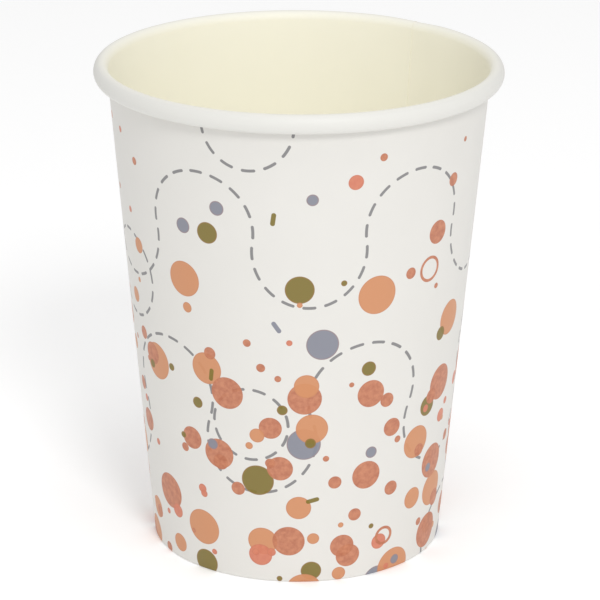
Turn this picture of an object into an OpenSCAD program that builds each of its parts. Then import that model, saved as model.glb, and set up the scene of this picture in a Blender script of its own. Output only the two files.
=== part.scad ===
// Single-wall paper cup. A printed blank is wrapped into a cone and lapped at a side seam.
// Its top edge is rolled outward into the rim, and its bottom edge is folded in round the
// skirt of a separate bottom disc. Millimetres, +Z up, origin at the centre of the base.

/* [Cup] */
// Height from the base edge to the top of the rolled rim
cup_h = 95.7; // [80:0.1:120]
// Outside diameter over the rolled rim
rim_d = 78; // [70:1:92]
// Outside diameter of the wall at the base edge
base_d = 56.3; // [48:0.1:64]

/* [Board] */
// Thickness of the sidewall board
wall_t = 0.32; // [0.25:0.01:0.45]
// Thickness of the bottom disc's board
disc_t = 0.28; // [0.2:0.01:0.4]

/* [Rolled rim] */
// Width of the roll, from the mouth to its outermost line
roll_w = 2.9; // [2.6:0.1:3.8]
// Height of the roll
roll_h = 3.8; // [3.2:0.1:4.4]
// How far the edge is curled, in degrees from the inside of the mouth
roll_turn = 430; // [380:10:450]
// Gap between the wall and the curl that comes back to it
curl_gap = 0.06; // [0.04:0.01:0.12]

/* [Base] */
// Height of the bottom disc's underside above the base edge
recess = 6.5; // [5:0.5:10]
// Gap between the folded flap's top edge and the bottom disc
flap_gap = 1.2; // [0.8:0.1:2]
// Gap between the skirt's lower edge and the fold
skirt_gap = 0.5; // [0.3:0.1:1]
// Radius inside the fold at the base edge
fold_in = 0.05; // [0.03:0.01:0.1]
// Radius inside the bend between the disc and its skirt
disc_bend_in = 0.5; // [0.3:0.1:0.8]
// Width of the bond line on each side of the skirt
bond = 0.02; // [0.01:0.01:0.04]

/* [Side seam] */
// Width of the glued lap
lap_w = 6.5; // [4:0.5:10]
// Width over which the outer edge climbs onto the inner edge
ramp_w = 6; // [3:0.5:9]
// Step that the pressed lap leaves inside the cup, at the inner edge
lap_step = 0.2; // [0.1:0.02:0.22]
// Direction of the seam's inner edge, in degrees from +X
seam_at = 52; // [0:1:359]

/* [Hidden] */

board_white = [0.93, 0.92, 0.89];
disc_white = [0.90, 0.89, 0.85];
round_steps = 180;   // segments round the cup
bend_steps = 4;      // segments in each quarter bend
roll_step = 15;      // degrees between the points of the curl
roll_outside = 180;  // turn of the curl at the outermost line of the rim
ramp_steps = 3;      // steps in which the outer edge climbs
run_on = 0.5;        // share of a step by which it runs on into the next, higher one
short_turn = 4;      // turn of the curl by which each step of the ramp stops short
skin = 0.1;          // how far an added or cut skin runs past the face it meets
skin_more = 0.0125;  // how much further it runs for each next step

// Centre of the roll, and half its width and height at the middle of the board
roll_r = rim_d/2 - roll_w/2;
roll_z = cup_h - roll_h/2;
roll_a = roll_w/2 - wall_t/2;
roll_b = roll_h/2 - wall_t/2;

// Wall line, at the middle of the board
taper = atan2(roll_r - roll_a - (base_d - wall_t)/2, roll_z);
function wall_r(z) = base_d/2 - wall_t/2/cos(taper) + z*tan(taper);

// Lines beside it: the middle of the skirt and of the flap lie this far inside
skirt_in = (wall_t + disc_t)/2 + bond;
flap_in = wall_t + disc_t + 2*bond;
function beside_wall(z, d) = [wall_r(z) - d/cos(taper), z];

// Paths are lists of [radius, height] along the middle of the board. Their left side is
// the board's coated face, the one that is towards the drink.
function arc(centre, r, from, to, steps) =
    [for (i = [0:steps]) let (a = from + (to - from)*i/steps) centre + r*[cos(a), sin(a)]];
function way(p, q) = (q - p)/norm(q - p);
function left(v) = [-v.y, v.x];
function miter(path, i) =
    let (last = len(path) - 1,
         before = way(path[max(i - 1, 0)], path[max(i, 1)]),
         after = way(path[min(i, last - 1)], path[min(i + 1, last)]),
         m = left(before) + left(after))
    2*m/(m*m);
function offset_path(path, d) = [for (i = [0:len(path) - 1]) path[i] + d*miter(path, i)];
function backwards(list) = [for (i = [len(list) - 1:-1:0]) list[i]];
function strip(path, right, left) =
    concat(offset_path(path, right), backwards(offset_path(path, left)));

// The curl: an oval spiral that tightens once it is past the outside of the rim
function tighten(turn) = (wall_t + curl_gap)*max(0, turn - roll_outside)/roll_outside;
function roll_point(turn) =
    [roll_r - (roll_a - tighten(turn))*cos(turn), roll_z + (roll_b - tighten(turn))*sin(turn)];
// The curl leaves the wall where its slope is the wall's
roll_from = atan(roll_b/roll_a*tan(taper));
roll_next = (floor(roll_from/roll_step) + 2)*roll_step;
function roll_path(to) =
    [for (turn = concat([roll_from], [for (a = [roll_next:roll_step:to - 1]) a], [to])) roll_point(turn)];

// The fold at the base edge: two quarter bends with a pressed flat between them
fold_r = fold_in + wall_t/2;
fold_z = fold_r + wall_t/2;
wall_bend = arc(beside_wall(fold_z, fold_r), fold_r, 270, 360 - taper, bend_steps);
flap_bend = arc(beside_wall(fold_z, flap_in - fold_r), fold_r, 180 - taper, 270, bend_steps);
flap_top = recess - flap_gap;

sheet_path = concat([beside_wall(flap_top, flap_in)], flap_bend, wall_bend, roll_path(roll_turn));

// The bottom disc: flat, with a skirt that follows the wall down to the fold
disc_z = recess + disc_t/2;
disc_bend = disc_bend_in + disc_t/2;
disc_corner = arc(beside_wall(disc_z - disc_bend, skirt_in + disc_bend), disc_bend, 90, -taper, bend_steps);
skirt_foot = wall_t + skirt_gap;
disc_path = concat([[0, disc_z]], disc_corner, [beside_wall(skirt_foot, skirt_in)]);

// The side seam. Past the inner edge the outer edge lies on it for lap_turn, and before
// that the sheet climbs over ramp_turn. The curl hides the lap from one turn of it on,
// and shows the step of the inner edge up to another.
lap_turn = lap_w/(PI*base_d)*360;
ramp_turn = ramp_w/(PI*base_d)*360;
lap_hidden = 330;
step_hidden = 250;
lap_foot = fold_z + 2*skin;
lap_top = roll_point(lap_hidden).y;
step_foot = recess + disc_t + skin;

// The lap is layer 0 and the ramp's steps follow. Each reaches a little less far up, down
// and into the board than the one that it runs on into, so that they share no face.
function lap_path(layer) =
    [beside_wall(lap_foot + layer*skin, 0), beside_wall(lap_top - layer*skin, 0)];
function step_path(layer) =
    concat([beside_wall(step_foot + layer*skin, 0)], roll_path(step_hidden - layer*short_turn));
function bury(layer) = skin + skin_more*layer;
function climb(layer) = 1 - (layer - 0.5)/ramp_steps;

// A line beside a path that starts on the wall, with its start at the path's own level
function level_start(path, d) =
    let (line = offset_path(path, d))
    concat([beside_wall(path[0].y, d)], [for (i = [1:len(line) - 1]) line[i]]);
function level_strip(path, right, left) =
    concat(level_start(path, right), backwards(level_start(path, left)));

module lathe(points, turn = 360) {
    rotate_extrude(angle = turn, $fn = round_steps) polygon(points);
}

// Turns its children to a place that is counted from the seam's inner edge
module from_seam(turn) {
    rotate([0, 0, seam_at + turn]) children();
}

// A layer on the sheet's outer face, of the given thickness
module outer_layer(layer, thick, turn) {
    lathe(level_strip(lap_path(layer), -wall_t/2 - thick, -wall_t/2 + bury(layer)), turn);
}

// What is cut from the sheet's inner face, to the given depth
module inner_cut(layer, deep, turn) {
    lathe(level_strip(step_path(layer), wall_t/2 - deep, wall_t/2 + bury(layer)), turn);
}

module sidewall() {
    ramp = ramp_turn/ramp_steps;
    color(board_white)
    difference() {
        union() {
            lathe(strip(sheet_path, -wall_t/2, wall_t/2));
            from_seam(0) outer_layer(0, wall_t, lap_turn);
            for (layer = [1:ramp_steps])
                from_seam(-ramp*layer) outer_layer(layer, wall_t*climb(layer), ramp*(1 + run_on));
        }
        for (layer = [1:ramp_steps])
            from_seam(-ramp*layer)
                inner_cut(layer, lap_step*climb(layer), ramp*(layer == 1 ? 1 : 1 + run_on));
    }
}

module bottom_disc() {
    color(disc_white)
    lathe(strip(disc_path, -disc_t/2, disc_t/2));
}

sidewall();
bottom_disc();
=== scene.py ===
# %% [markdown]
# # A paper cup with a confetti print
# A single-wall paper cup is two pieces of board. One printed blank is wrapped into a cone,
# glued where its edges lap, curled outward into the rim and folded in at the base. A plain
# disc with a turned-down skirt closes the bottom. The solids of both come in with the
# frame. Here each gets a finer mesh with the wrap, the lap and the curl of real board, and
# finishes made of nodes.

# %% The frame
import math

import bpy
import numpy as np
from mathutils import Matrix, Vector


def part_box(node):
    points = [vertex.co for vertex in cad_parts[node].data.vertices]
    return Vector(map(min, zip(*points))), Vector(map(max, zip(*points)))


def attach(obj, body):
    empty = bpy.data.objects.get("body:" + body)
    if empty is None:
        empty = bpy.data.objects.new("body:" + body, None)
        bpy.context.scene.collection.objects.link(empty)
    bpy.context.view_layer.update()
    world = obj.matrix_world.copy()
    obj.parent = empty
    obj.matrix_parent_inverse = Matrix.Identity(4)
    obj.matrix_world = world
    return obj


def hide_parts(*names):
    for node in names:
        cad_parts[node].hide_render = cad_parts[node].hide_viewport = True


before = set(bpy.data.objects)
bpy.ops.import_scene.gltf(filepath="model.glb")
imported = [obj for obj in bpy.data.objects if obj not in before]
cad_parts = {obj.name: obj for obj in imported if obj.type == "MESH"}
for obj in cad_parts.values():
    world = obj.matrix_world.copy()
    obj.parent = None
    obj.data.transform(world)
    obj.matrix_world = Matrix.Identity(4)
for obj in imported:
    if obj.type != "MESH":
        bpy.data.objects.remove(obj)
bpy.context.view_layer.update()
wall_low, wall_high = (np.array(corner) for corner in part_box("sidewall"))
disc_low, disc_high = (np.array(corner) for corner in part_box("bottom_disc"))
print("cup, mm:", (1000*(wall_high - wall_low)).round(2))

# %% [markdown]
# ## The cup's sizes
# The height and the disc's level come from the frame, so that the meshes can't drift from
# the solids. What a box can't tell, such as the board's thickness, is a named value.
# Lengths are in millimetres here, and turn into metres when a mesh is made.

# %% Sizes in millimetres
MM = 0.001
cup_h = wall_high[2]/MM
rim_r = 39.0
base_r = 28.15
board = 0.32
disc_board = 0.28
roll_w, roll_h = 2.9, 3.8
roll_turn = 430
curl_gap = 0.06
bond = 0.02
fold_in = 0.05
disc_bend_in = 0.5
flap_gap = 1.2
lap_w, ramp_w = 6.5, 6.0
seam_at = 52
disc_top = disc_high[2]/MM
disc_foot = disc_low[2]/MM

roll_r = rim_r - roll_w/2
roll_z = cup_h - roll_h/2
roll_a = roll_w/2 - board/2
roll_b = roll_h/2 - board/2
taper = math.atan((roll_r - roll_a - (base_r - board/2))/roll_z)
lean = math.degrees(taper)
lap_turn = math.degrees(lap_w/base_r)
ramp_turn = math.degrees(ramp_w/base_r)
print("taper, degrees:", round(lean, 3))

# %% [markdown]
# ## The camera
# The camera stands where the photograph was taken from: about 19 degrees above the
# horizon and 0.6 m away, with a long lens. The frame of the picture isn't quite centred
# on the cup, so the lens is shifted a little, and the camera leans by a quarter degree.

# %% The camera
def look_from(elevation, distance, focal_px, centre_px, roll, frame_px=600):
    """A camera in front of the cup, from its focal length and picture centre in pixels."""
    data = bpy.data.cameras.new("camera")
    data.sensor_width = 36
    data.lens = focal_px/frame_px*data.sensor_width
    data.shift_x = 0.5 - centre_px[0]/frame_px
    data.shift_y = centre_px[1]/frame_px - 0.5
    data.clip_start, data.clip_end = 0.01, 20
    camera = bpy.data.objects.new("camera", data)
    bpy.context.collection.objects.link(camera)
    e = math.radians(elevation)
    back = Vector((0, -math.cos(e), math.sin(e)))
    turn = (-back).to_track_quat("-Z", "Y").to_matrix().to_4x4()
    middle = Vector((0, 0, cup_h*MM/2))
    stand = Matrix.Translation(middle + back*distance*MM)
    camera.matrix_world = stand @ turn @ Matrix.Rotation(math.radians(roll), 4, "Z")
    bpy.context.scene.camera = camera
    return camera


camera = look_from(elevation=19.475, distance=620, focal_px=3185.5,
                   centre_px=(297.8, 297.3), roll=0.298)
print("lens, mm:", round(camera.data.lens, 1))

# %% [markdown]
# ## The board's line
# Cut the cup in half, and the blank shows as one line: up the folded flap inside the
# base, round the fold, up the wall, and round the curl of the rim. The solid was made from
# the same line, and more points here make the curl smooth. The left side of the line is the
# coated face, which is towards the drink. The right side is the printed one.

# %% The lines of both pieces
def beside_wall(z, inside):
    """The point at this height on a line that lies this far inside the wall's middle."""
    return np.array([base_r + z*math.tan(taper) - (board/2 + inside)/math.cos(taper), z])


def line(start, end, points):
    return [start + (end - start)*i/points for i in range(points)]


def arc(centre, radius, first, last, points):
    angles = np.radians(np.linspace(first, last, points + 1))
    return [centre + radius*np.array([math.cos(a), math.sin(a)]) for a in angles]


def roll_point(turn):
    """A point of the curl. It tightens once it is past the outside of the rim."""
    a = math.radians(turn)
    tight = (board + curl_gap)*max(0, turn/180 - 1)
    return np.array([roll_r - (roll_a - tight)*math.cos(a), roll_z + (roll_b - tight)*math.sin(a)])


skirt_in = (board + disc_board)/2 + bond
flap_in = board + disc_board + 2*bond
fold_r = fold_in + board/2
fold_z = fold_r + board/2
flap_top = disc_top - disc_board - flap_gap
roll_from = math.degrees(math.atan(roll_b/roll_a*math.tan(taper)))

flap_fold = arc(beside_wall(fold_z, flap_in - fold_r), fold_r, 180 - lean, 270, 7)
wall_fold = arc(beside_wall(fold_z, fold_r), fold_r, 270, 360 - lean, 7)
flap_line = line(beside_wall(flap_top, flap_in), flap_fold[0], 4)
wall_line = line(wall_fold[-1], roll_point(roll_from), 26)[1:]
curl_line = [roll_point(turn) for turn in np.linspace(roll_from, roll_turn, 56)]
sheet_line = np.array(flap_line + flap_fold + wall_fold + wall_line + curl_line)

disc_bend = disc_bend_in + disc_board/2
disc_z = disc_top - disc_board/2
disc_corner = arc(beside_wall(disc_z - disc_bend, skirt_in + disc_bend), disc_bend, 90, -lean, 9)
skirt_line = line(disc_corner[-1], beside_wall(disc_foot, skirt_in), 6)[1:]
disc_line = np.array(line(np.array([0, disc_z]), disc_corner[0], 24) + disc_corner + skirt_line
                     + [beside_wall(disc_foot, skirt_in)])


def right_of(path):
    """The unit direction to the right of a path, at each of its points."""
    along = np.gradient(path, axis=0)
    along /= np.linalg.norm(along, axis=1)[:, None]
    return np.stack([along[:, 1], -along[:, 0]], axis=1)


def lengths(path):
    """How far along the path each of its points lies."""
    steps = np.linalg.norm(np.diff(path, axis=0), axis=1)
    return np.concatenate([[0], np.cumsum(steps)])


sheet_run = lengths(sheet_line)
fold_run = sheet_run[len(flap_line) + len(flap_fold) - 1]
base_run = sheet_run[len(flap_line) + len(flap_fold) + len(wall_fold) - 1]
curl_run = sheet_run[-len(curl_line)]
print("blank, mm from edge to edge:", sheet_run[-1].round(1), "in", len(sheet_line), "points")

# %% [markdown]
# ## Wrapping
# The blank goes once round and a little further. Its inner edge is pressed into the
# board by the seam's clamp. On its second pass it climbs over that edge and lies on
# itself for the width of the lap, where the raw outer edge shows. At the fold the cup
# has to stand flat, so there both layers are pressed to half their thickness, and the tool
# that curls the rim presses them nearly as much. Each face of the sheet is the same line,
# set off to its right by an amount for each row and turn.

# %% Round the cup
COLUMNS = 374    # points round the blank, about one to a degree
PRESSED = 0.2    # how far the seam's clamp thins the inner edge
ROLLED = 0.8     # how much of the lap's extra thickness the curling tool takes out
GLUE = 0.01
FLAT_HALF, FLAT_FADE = 1, 3   # reach of the pressed fold, and how softly it ends
ROLL_FADE = 2.5               # height below the curl over which the wall's lap is pressed
whole_turn = 360 + lap_turn
around = np.linspace(0, whole_turn, COLUMNS)


def smooth(x):
    x = np.clip(x, 0, 1)
    return x*x*(3 - 2*x)


under = 1 - smooth((around - lap_turn)/ramp_turn)
over = smooth((around - 360 + ramp_turn)/ramp_turn)
climb = (board + GLUE)*over
pressed = PRESSED*(1 - smooth(around/lap_turn))
flat = 1 - smooth((np.abs(sheet_run - fold_run) - FLAT_HALF)/FLAT_FADE)
flat = np.maximum(flat, ROLLED*smooth((sheet_run - curl_run + ROLL_FADE)/ROLL_FADE))[:, None]
printed_off = board/2 + climb*(1 - flat) - (board/2 + GLUE)*under*flat
coated_off = -board/2 + climb*(1 - flat) + board/2*over*flat + pressed*(1 - flat/2)
print("thinnest board, mm:", (printed_off - coated_off).min().round(3))


def wrapped(path, off):
    """The path turned about the axis, set off to its right: rows along it, columns round."""
    side = right_of(path)
    radius = path[:, :1] + side[:, :1]*off
    level = path[:, 1:] + side[:, 1:]*off
    angle = np.radians(seam_at + around)
    return np.stack([radius*np.cos(angle), radius*np.sin(angle), level], axis=2)*MM


# %% [markdown]
# ## The flat blank
# Before it is wrapped, the blank is a flat fan: a cone rolled out. The print is laid out
# on that fan, so its dots are true circles there and wrap without stretching. Each point
# of the sheet therefore carries its own place on the fan, in millimetres from the point
# where the cone would end. The finishes read it by its name.

# %% The fan
fan_base = base_r/math.sin(taper)
fan_run = fan_base + sheet_run - base_run
fan_turn = np.radians(around - whole_turn/2)*math.sin(taper)
fan = np.stack([np.outer(fan_run, np.sin(fan_turn)), np.outer(fan_run, np.cos(fan_turn)),
                np.zeros((len(fan_run), len(fan_turn)))], axis=2)
print("fan, degrees:", round(math.degrees(fan_turn[-1] - fan_turn[0]), 1))

# %% [markdown]
# ## The mesh of the sidewall
# The two faces of the board are two grids of points. Four narrow strips along the edges
# join them into one closed skin, which is what a real sheet has: no face without a back.
# Seen from outside the board, the corners of every face run anticlockwise, so one of the
# grids is flipped.

# %% Grids and strips
def grid_faces(rows, columns, first=0, flip=False):
    """The quads of a grid whose points are numbered row by row from first."""
    corner = first + np.arange(rows - 1)[:, None]*columns + np.arange(columns - 1)
    quads = np.stack([corner, corner + 1, corner + columns + 1, corner + columns], axis=2)
    quads = quads.reshape(-1, 4)
    return quads[:, ::-1] if flip else quads


def strip_faces(one, other):
    """Quads between two lines of point numbers."""
    return np.stack([one[:-1], one[1:], other[1:], other[:-1]], axis=1)


CREASE = 35   # degrees between two faces from which their edge stays sharp


def make_piece(name, points, groups, finishes):
    """A mesh object from points and groups of quads, one group for each finish."""
    mesh = bpy.data.meshes.new(name)
    quads = np.concatenate(groups)
    mesh.from_pydata(points.reshape(-1, 3).tolist(), [], quads.tolist())
    for finish in finishes:
        mesh.materials.append(finish)
    which = np.repeat(np.arange(len(groups)), [len(group) for group in groups])
    mesh.polygons.foreach_set("material_index", which.astype(np.int32))
    mesh.polygons.foreach_set("use_smooth", np.ones(len(quads), bool))
    mesh.set_sharp_from_angle(angle=math.radians(CREASE))
    piece = bpy.data.objects.new(name, mesh)
    bpy.context.collection.objects.link(piece)
    print(name, "has", len(quads), "quads")
    return piece


rows, columns = len(sheet_line), len(around)
sheet_points = np.concatenate([wrapped(sheet_line, coated_off), wrapped(sheet_line, printed_off)])
numbers = np.arange(2*rows*columns).reshape(2, rows, columns)
coated, printed = numbers
sheet_edges = np.concatenate([
    strip_faces(coated[0], printed[0]),
    strip_faces(printed[-1], coated[-1]),
    strip_faces(printed[:, 0], coated[:, 0]),
    strip_faces(coated[:, -1], printed[:, -1]),
])

# %% [markdown]
# ## Shader maths as sums
# A pattern is arithmetic on coordinates. Wired by hand, each plus and minus is a node and
# two links. A small class around a socket turns Python's operators into those nodes, so a
# formula reads like a formula. Numbers alone are worked out in Python and cost no node.

# %% Values and finishes
class Value:
    """A number that varies over a surface. Its operators add Math nodes."""

    def __init__(self, finish, socket):
        self.finish, self.socket = finish, socket

    def maths(self, operation, *others, clamp=False):
        settings = {"operation": operation, "use_clamp": clamp}
        return self.finish.node("Math", settings, dict(enumerate([self, *others])))[0]

    def __add__(self, other):
        return self.maths("ADD", other)

    __radd__ = __add__

    def __sub__(self, other):
        return self.maths("SUBTRACT", other)

    def __rsub__(self, other):
        return (self*-1).maths("ADD", other)

    def __mul__(self, other):
        return self.maths("MULTIPLY", other)

    __rmul__ = __mul__

    def __truediv__(self, other):
        return self.maths("DIVIDE", other)

    def __lt__(self, other):
        return self.maths("LESS_THAN", other)

    def __gt__(self, other):
        return self.maths("GREATER_THAN", other)

    def __abs__(self):
        return self.maths("ABSOLUTE")


class Node:
    """A node whose outputs are values, by number or by name."""

    def __init__(self, finish, node):
        self.finish, self.node = finish, node

    def __getitem__(self, key):
        return Value(self.finish, self.node.outputs[key])


class Finish:
    """A material, and the one method that makes its nodes."""

    def __init__(self, name, **constants):
        self.material = bpy.data.materials.new(name)
        self.material.use_nodes = True
        self.tree = self.material.node_tree
        self.tree.nodes.clear()
        self.surface = self.node("BsdfPrincipled", {}, constants)
        output = self.tree.nodes.new("ShaderNodeOutputMaterial")
        self.tree.links.new(self.surface.node.outputs[0], output.inputs["Surface"])

    def node(self, kind, settings=None, sockets=None):
        node = self.tree.nodes.new("ShaderNode" + kind)
        for name, setting in (settings or {}).items():
            setattr(node, name, setting)
        self.feed(node, sockets or {})
        return Node(self, node)

    def feed(self, node, sockets):
        for key, value in sockets.items():
            if isinstance(value, Value):
                self.tree.links.new(value.socket, node.inputs[key])
            else:
                node.inputs[key].default_value = value

    def wear(self, sockets):
        self.feed(self.surface.node, sockets)

    def mix(self, share, under, over):
        """Colours: over where share is 1, under where it is 0."""
        return self.node("Mix", {"data_type": "RGBA"}, {0: share, 6: under, 7: over})[2]


def ink(red, green, blue):
    """A colour as the eye sees it, 0 to 255, as the light that a shader works with."""
    seen = [channel/255 for channel in (red, green, blue)]
    return (*[c/12.92 if c < 0.04 else ((c + 0.055)/1.055)**2.4 for c in seen], 1.0)


# %% [markdown]
# ## White cup board
# The board of a cup is bleached and smooth, with a film on its inner side that makes it a
# little warmer. The film's side shows inside the cup and, because the edge curls outward,
# on the rim too. Inside the cup the film is painted brighter and creamier than on the roll:
# this is painted light, for the light that bounces between the walls. Fibres leave a faint
# cloudiness and a very fine grain. A slow noise gives the tone, and a quick one gives the
# grain as a bump.

# %% Board finishes
def cloud(finish, size, detail=2.0):
    """A soft noise from 0 to 1, in blotches of about this size in millimetres."""
    place = finish.node("TexCoord")["Object"]
    noise = {"Vector": place, "Scale": 1/(size*MM), "Detail": detail}
    return finish.node("TexNoise", {}, noise)[0]


def rough(finish, middle):
    """A roughness that wanders a little about its middle."""
    return cloud(finish, 3)*0.12 + (middle - 0.06)


def grain(finish, strength=0.1):
    """The bump of board: fine fibres, and the slow unevenness of pressed pulp."""
    height = cloud(finish, 0.35)*0.35 + cloud(finish, 6)
    bump = {"Strength": strength, "Distance": 0.03*MM, "Height": height}
    return finish.node("Bump", {}, bump)[0]


def plain_board(name, light, dark, roughness, strength=0.1):
    finish = Finish(name)
    finish.wear({
        "Base Color": finish.mix(cloud(finish, 9), dark, light),
        "Roughness": rough(finish, roughness),
        "Normal": grain(finish, strength),
    })
    return finish


def on_fan(finish):
    """The point's place on the flat blank."""
    return finish.node("Attribute", {"attribute_name": "blank"})["Vector"]


def length_of(finish, vector):
    return finish.node("VectorMath", {"operation": "LENGTH"}, {0: vector})["Value"]


# The inside colours are brighter and creamier than the film itself: painted bounce light.
INNER_WITH_BOUNCE, INNER_WITH_BOUNCE_DARK = ink(252, 249, 233), ink(250, 247, 230)
RIM, RIM_DARK = ink(221, 220, 215), ink(219, 218, 213)
RIM_FADE = 3.0   # length along the curl over which the cream turns white


def coated_board():
    """Brighter cream inside the cup, which is painted bounce light between its walls, and the
    plain film colour over the roll.
    """
    finish = Finish("coated_face")
    # 0 inside the cup, where the painted bounce light is, and 1 on the roll.
    past_wall = length_of(finish, on_fan(finish)) - fan_base - (curl_run - base_run)
    on_roll = past_wall.maths("DIVIDE", RIM_FADE, clamp=True)
    inner = finish.mix(cloud(finish, 9), INNER_WITH_BOUNCE_DARK, INNER_WITH_BOUNCE)
    rim = finish.mix(cloud(finish, 9), RIM_DARK, RIM)
    finish.wear({
        "Base Color": finish.mix(on_roll, inner, rim),
        "Roughness": rough(finish, 0.52),
        "Normal": grain(finish),
    })
    return finish


coated_face = coated_board()
disc_face = plain_board("disc_face", ink(243, 239, 226), ink(239, 235, 220), 0.45)
raw_edge = plain_board("raw_edge", ink(244, 239, 224), ink(238, 232, 214), 0.9, 0.3)
print("board finishes:", [f.material.name for f in (coated_face, disc_face, raw_edge)])

# %% [markdown]
# ## Confetti on a flat sheet
# A Voronoi texture throws one random point into each cell of a grid. The distance from
# that point, cut off at a radius, is a dot. The cell's random colour says how big the dot
# is, which ink it has and whether it is there at all. The further a cell is above the base
# edge, the fewer of its dots are printed. Each layer turns the fan about its own middle,
# so that the layers don't line up, and the height above the base edge stays what it is.

# %% Throwing the confetti
SOFT = 0.07     # width over which the edge of a printed shape fades
STROKE = 0.29   # half the width of a dashed line
DASH_LONG = 2.7
PERIOD = 4.2    # from the start of one dash to the start of the next


class Scatter:
    """Random points on the fan, one to a cell, with what each dot needs to know."""

    def __init__(self, finish, cell, turn, jitter):
        angle = {"Vector": on_fan(finish), "Angle": math.radians(turn)}
        place = finish.node("VectorRotate", {"rotation_type": "Z_AXIS"}, angle)[0]
        grid = {"Vector": place, "Scale": 1/cell, "Randomness": jitter}
        cells = finish.node("TexVoronoi", {"voronoi_dimensions": "2D"}, grid)
        middle = cells["Position"]
        self.finish = finish
        self.away = finish.node("VectorMath", {"operation": "SUBTRACT"}, {0: place, 1: middle})[0]
        self.distance = length_of(finish, self.away)
        self.height = length_of(finish, middle) - fan_base
        chances = finish.node("SeparateColor", {}, {"Color": cells["Color"]})
        self.luck, self.size, self.hue = chances[0], chances[1], chances[2]

    def there(self, at_base, at_top, reach=90):
        """1 where the cell's dot is printed: a share of them that falls with height."""
        share = at_base + self.height*((at_top - at_base)/reach)
        return self.luck < share


def inside(gap):
    """A soft-edged mask: 1 where gap is below 0."""
    return (gap*(-1/SOFT)).maths("ADD", 0.5, clamp=True)


def dashes(finish, run, aside):
    """Rounded dashes along a line: run is the length along it, aside the way off it."""
    along = abs((run/PERIOD).maths("FRACT") - 0.5)*PERIOD - (DASH_LONG/2 - STROKE)
    beyond = along.maths("MAXIMUM", 0)
    tip = finish.node("CombineXYZ", {}, {0: beyond, 1: aside})[0]
    return inside(length_of(finish, tip) - STROKE)


# %% [markdown]
# ## Streamers
# Paper streamers hang in loops. A chain of arcs that bend up and down in turn looks like
# one, and its length along the arcs has a simple formula, so its dashes keep their
# spacing. The chain runs round the cup in degrees of the fan, at a level above the base.

# %% Dashed streamers and hoops
def streamer(finish, level, loop, shift, dashes_in_loop, rise=0.0):
    """A dashed chain of arcs. Each arc turns through twice the angle named loop."""
    half = math.radians(loop)
    radius = dashes_in_loop*PERIOD/(2*half)
    step = 2*radius*math.sin(half)
    place = finish.node("SeparateXYZ", {}, {0: on_fan(finish)})
    turn = place[0].maths("ARCTAN2", place[1])
    run = turn*(fan_base + level) + shift
    height = length_of(finish, on_fan(finish)) - (fan_base + level) - run*rise
    masks = []
    for side, start in ((1, 0), (-1, step)):
        across = (run + (start + step/2)).maths("FLOORED_MODULO", 2*step) - step
        up = height*side + radius*math.cos(half)
        spoke = finish.node("CombineXYZ", {}, {0: across, 1: up})[0]
        aside = length_of(finish, spoke) - radius
        angle = across.maths("ARCTAN2", up)
        arc_line = dashes(finish, (angle + half)*radius, aside)
        masks.append(arc_line*(abs(angle) < half))
    return masks[0].maths("MAXIMUM", masks[1])


def hoops(finish, cell, turn, small, large, share):
    """Dashed circles, a whole number of dashes in each."""
    thrown = Scatter(finish, cell, turn, 0.35)
    radius = thrown.size*(large - small) + small
    place = finish.node("SeparateXYZ", {}, {0: thrown.away})
    number = (radius*(2*math.pi/PERIOD)).maths("ROUND")
    angle = place[1].maths("ARCTAN2", place[0])
    run = angle*number*(PERIOD/(2*math.pi)) + thrown.hue*PERIOD
    return dashes(finish, run, thrown.distance - radius)*thrown.there(*share)


# %% [markdown]
# ## The inks
# The print has six inks on white: peach, coral and copper, the last two mottled like worn
# foil, then olive, slate and a grey for the dashes. They are a little see-through, so one
# that is printed over another takes some of its tone. Streamers come first, then big dots,
# small dots, rings and bars. A dot has a border as thin as a hair, where ink has gathered.
# The print runs on a little past the base edge, and the rest of the folded flap is bare.

# %% The printed face
PEACH, CORAL = ink(202, 136, 91), ink(201, 112, 85)
CORAL_WORN = ink(208, 125, 95)
COPPER, COPPER_WORN = ink(175, 100, 68), ink(198, 127, 91)
OLIVE, SLATE, DASH = ink(120, 103, 12), ink(128, 130, 142), ink(126, 125, 126)
PAPER, PAPER_DARK = ink(223, 221, 216), ink(220, 218, 213)
OPAQUE = 0.96
BORDER, BORDER_WIDE, BORDER_SHARE = ink(176, 110, 84), 0.2, 0.25
RING_R, RING_LINE = 1.6, 0.6
BAR_LONG, BAR_WIDE = 2.6, 0.9
BLEED = 2   # how far the print runs on past the base edge, up the folded flap


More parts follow.
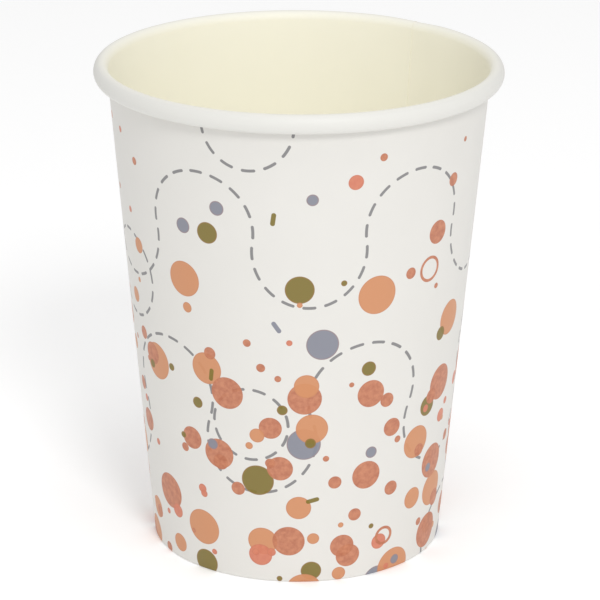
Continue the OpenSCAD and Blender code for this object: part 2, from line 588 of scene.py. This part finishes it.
class Print:
    """The colour of the printed face, to which shapes are added one over another."""

    def __init__(self, finish, paper):
        self.finish, self.colour = finish, paper
        self.fleck = cloud(finish, 0.9, 4)
        self.inked = None

    def add(self, mask, colour):
        self.colour = self.finish.mix(mask*OPAQUE, self.colour, colour)
        self.inked = mask if self.inked is None else self.inked.maths("MAXIMUM", mask)

    def mottled(self, dark, light):
        """Worn foil: flecks of a lighter tone."""
        worn = ((self.fleck - 0.3)*2.5).maths("ADD", 0, clamp=True)
        return self.finish.mix(worn, dark, light)

    def dots(self, cell, turn, small, large, share, colour, jitter=0.5):
        thrown = Scatter(self.finish, cell, turn, jitter)
        radius = thrown.size*(large - small) + small
        gap = thrown.distance - radius
        present = thrown.there(*share)
        if callable(colour):
            colour = colour(thrown)
        self.add(inside(gap)*present, colour)
        edge = inside(abs(gap + BORDER_WIDE/2) - BORDER_WIDE/2)*present
        self.colour = self.finish.mix(edge*BORDER_SHARE, self.colour, BORDER)

    def rings_and_bars(self, cell, turn, share, ring_colour, bar_colour):
        """A ring in some cells and a short bar in others, so that the two never meet."""
        thrown = Scatter(self.finish, cell, turn, 0.4)
        present = thrown.there(*share)
        radius = thrown.size + RING_R
        ring = inside(abs(thrown.distance - radius) - RING_LINE/2)
        self.add(ring*present*(thrown.hue > 0.5), ring_colour)
        spin = {"Vector": thrown.away, "Angle": thrown.size*math.pi}
        place = self.finish.node("VectorRotate", {"rotation_type": "Z_AXIS"}, spin)[0]
        local = self.finish.node("SeparateXYZ", {}, {0: place})
        beyond = (abs(local[0]) - (BAR_LONG - BAR_WIDE)/2).maths("MAXIMUM", 0)
        tip = self.finish.node("CombineXYZ", {}, {0: beyond, 1: local[1]})[0]
        bar = inside(length_of(self.finish, tip) - BAR_WIDE/2)
        self.add(bar*present*(thrown.hue < 0.5), bar_colour(thrown))


def one_of(finish, *choices):
    """A colour for each cell, by its hue number: (up to this number, colour) pairs."""
    def pick(thrown):
        colour = choices[-1][1]
        for limit, other in reversed(choices[:-1]):
            colour = finish.mix(thrown.hue < limit, colour, other)
        return colour
    return pick


def confetti_board():
    finish = Finish("printed_face")
    paper = finish.mix(cloud(finish, 9), PAPER_DARK, PAPER)
    art = Print(finish, paper)
    copper = art.mottled(COPPER, COPPER_WORN)
    coral = art.mottled(CORAL, CORAL_WORN)
    art.add(streamer(finish, 70, 100, 11, dashes_in_loop=9), DASH)
    art.add(streamer(finish, 30, 112, 60, dashes_in_loop=10, rise=0.05), DASH)
    # What follows is thrown. The numbers are the cell's size, the turn of the fan, the
    # smallest and the largest radius, and the shares printed at the base and at the top.
    art.add(hoops(finish, 46, 131, 6.5, 9.5, (0.7, 0.35)), DASH)
    art.dots(22, 17, 2.2, 3.4, (0.70, -0.05), SLATE)
    art.dots(19, 43, 1.8, 3.2, (0.75, -0.10), OLIVE)
    art.dots(16.5, 71, 2.8, 4.2, (0.95, -0.20), PEACH)
    art.dots(15, 97, 2.2, 3.8, (0.95, -0.15), copper)
    warm = one_of(finish, (0.4, copper), (0.7, PEACH), (1, coral))
    art.dots(12, 124, 1.5, 2.4, (0.80, -0.15), warm)
    small = one_of(finish, (0.35, copper), (0.6, PEACH), (0.8, coral), (0.9, OLIVE), (1, SLATE))
    art.dots(8.5, 151, 0.8, 1.6, (0.65, 0.0), small)
    art.dots(7, 199, 0.5, 0.8, (0.40, 0.05), small, jitter=0.7)
    art.rings_and_bars(16, 229, (0.60, 0.05), copper, one_of(finish, (0.28, SLATE), (1, OLIVE)))
    bled = inside(fan_base - BLEED - length_of(finish, on_fan(finish)))
    finish.wear({
        "Base Color": finish.mix(bled, paper, art.colour),
        "Roughness": rough(finish, 0.5) - art.inked*bled*0.06,
        "Normal": grain(finish),
    })
    return finish


printed_face = confetti_board()
print("nodes in the printed face:", len(printed_face.tree.nodes))

# %% [markdown]
# ## The sidewall
# Now the mesh and its three finishes meet: the coated face, the printed face and the raw
# edges. The places on the fan are stored on the mesh's points, the same ones for both faces.
# The solid of the same name is then hidden, and the piece is set in its place.

# %% The sidewall
sidewall = make_piece(
    "sidewall_board", sheet_points,
    [grid_faces(rows, columns, flip=True), grid_faces(rows, columns, rows*columns), sheet_edges],
    [coated_face.material, printed_face.material, raw_edge.material],
)
blank = sidewall.data.attributes.new("blank", "FLOAT_VECTOR", "POINT")
blank.data.foreach_set("vector", np.tile(fan.reshape(-1), 2).astype(np.float32))
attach(sidewall, "root")
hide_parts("sidewall")

# %% [markdown]
# ## The bottom disc
# The disc was punched from a roll of board and pressed so that its border turns down into a
# skirt. It has no seam, so half its section, turned about the axis, is the whole of it.

# %% The bottom disc
def lathe(name, outline, finish, steps=180):
    """A closed outline of radius and height, turned about the axis."""
    angle = np.radians(np.arange(steps)*360/steps)
    rim = outline[1:-1]
    ring = np.stack([np.outer(rim[:, 0], np.cos(angle)), np.outer(rim[:, 0], np.sin(angle)),
                     np.repeat(rim[:, 1:], steps, axis=1)], axis=2).reshape(-1, 3)
    poles = np.array([[0, 0, outline[0, 1]], [0, 0, outline[-1, 1]]])
    mesh = bpy.data.meshes.new(name)
    number = np.arange(len(rim)*steps).reshape(len(rim), steps)
    after = np.roll(number, -1, axis=1)
    quads = np.stack([number[:-1], number[1:], after[1:], after[:-1]], axis=2).reshape(-1, 4)
    top, bottom = len(ring), len(ring) + 1
    caps = [[top, a, b] for a, b in zip(number[0], after[0])]
    caps += [[bottom, b, a] for a, b in zip(number[-1], after[-1])]
    mesh.from_pydata((np.concatenate([ring, poles])*MM).tolist(), [], quads.tolist() + caps)
    mesh.materials.append(finish.material)
    mesh.polygons.foreach_set("use_smooth", np.ones(len(mesh.polygons), bool))
    mesh.set_sharp_from_angle(angle=math.radians(CREASE))
    piece = bpy.data.objects.new(name, mesh)
    bpy.context.collection.objects.link(piece)
    print(name, "has", len(mesh.polygons), "faces")
    return piece


side = right_of(disc_line)
disc_outline = np.concatenate([disc_line - side*disc_board/2,
                               (disc_line + side*disc_board/2)[::-1]])
disc = lathe("bottom_disc_board", disc_outline, disc_face)
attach(disc, "root")
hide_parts("bottom_disc")

# %% [markdown]
# ## The floor and the light
# The cup stands on a white table in a white room. Most of the light is the room's, which
# is soft and comes from all sides. A lamp in front, a little to the right, stands somewhat
# higher than the camera, so that the roll throws a thin dark line on the wall under it. A
# second one overhead reaches down into the cup. The table glows faintly, as a light table
# does, so that it stays white round the cup.

# %% Studio
ROOM = 0.67
GLOW = 0.12


def floor_plane(half=3.0):
    finish = Finish("floor")
    finish.wear({"Base Color": ink(250, 250, 250), "Roughness": 0.8,
                 "Emission Color": (1, 1, 1, 1), "Emission Strength": GLOW})
    mesh = bpy.data.meshes.new("floor")
    corners = [(-half, -half, 0), (half, -half, 0), (half, half, 0), (-half, half, 0)]
    mesh.from_pydata(corners, [], [(0, 1, 2, 3)])
    mesh.materials.append(finish.material)
    floor = bpy.data.objects.new("floor", mesh)
    bpy.context.collection.objects.link(floor)


def room_light():
    world = bpy.data.worlds.new("room")
    world.use_nodes = True
    world.node_tree.nodes["Background"].inputs["Color"].default_value = (1, 1, 1, 1)
    world.node_tree.nodes["Background"].inputs["Strength"].default_value = ROOM
    bpy.context.scene.world = world


def soft_lamp(azimuth, elevation, distance, size, energy):
    """A round area lamp, aimed at the cup. Azimuth counts from the front to the right."""
    a, e = math.radians(azimuth), math.radians(elevation)
    towards = Vector((math.sin(a)*math.cos(e), -math.cos(a)*math.cos(e), math.sin(e)))
    lamp = bpy.data.lights.new("soft_lamp", "AREA")
    lamp.shape, lamp.size, lamp.energy = "DISK", size, energy
    light = bpy.data.objects.new("soft_lamp", lamp)
    bpy.context.collection.objects.link(light)
    stand = Matrix.Translation(towards*distance + Vector((0, 0, cup_h*MM/2)))
    light.matrix_world = stand @ towards.to_track_quat("Z", "Y").to_matrix().to_4x4()


floor_plane()
room_light()
soft_lamp(azimuth=16, elevation=38, distance=1.3, size=0.35, energy=5.1)
soft_lamp(azimuth=0, elevation=75, distance=1.3, size=0.7, energy=3.2)
bpy.context.scene.view_settings.view_transform = "Standard"
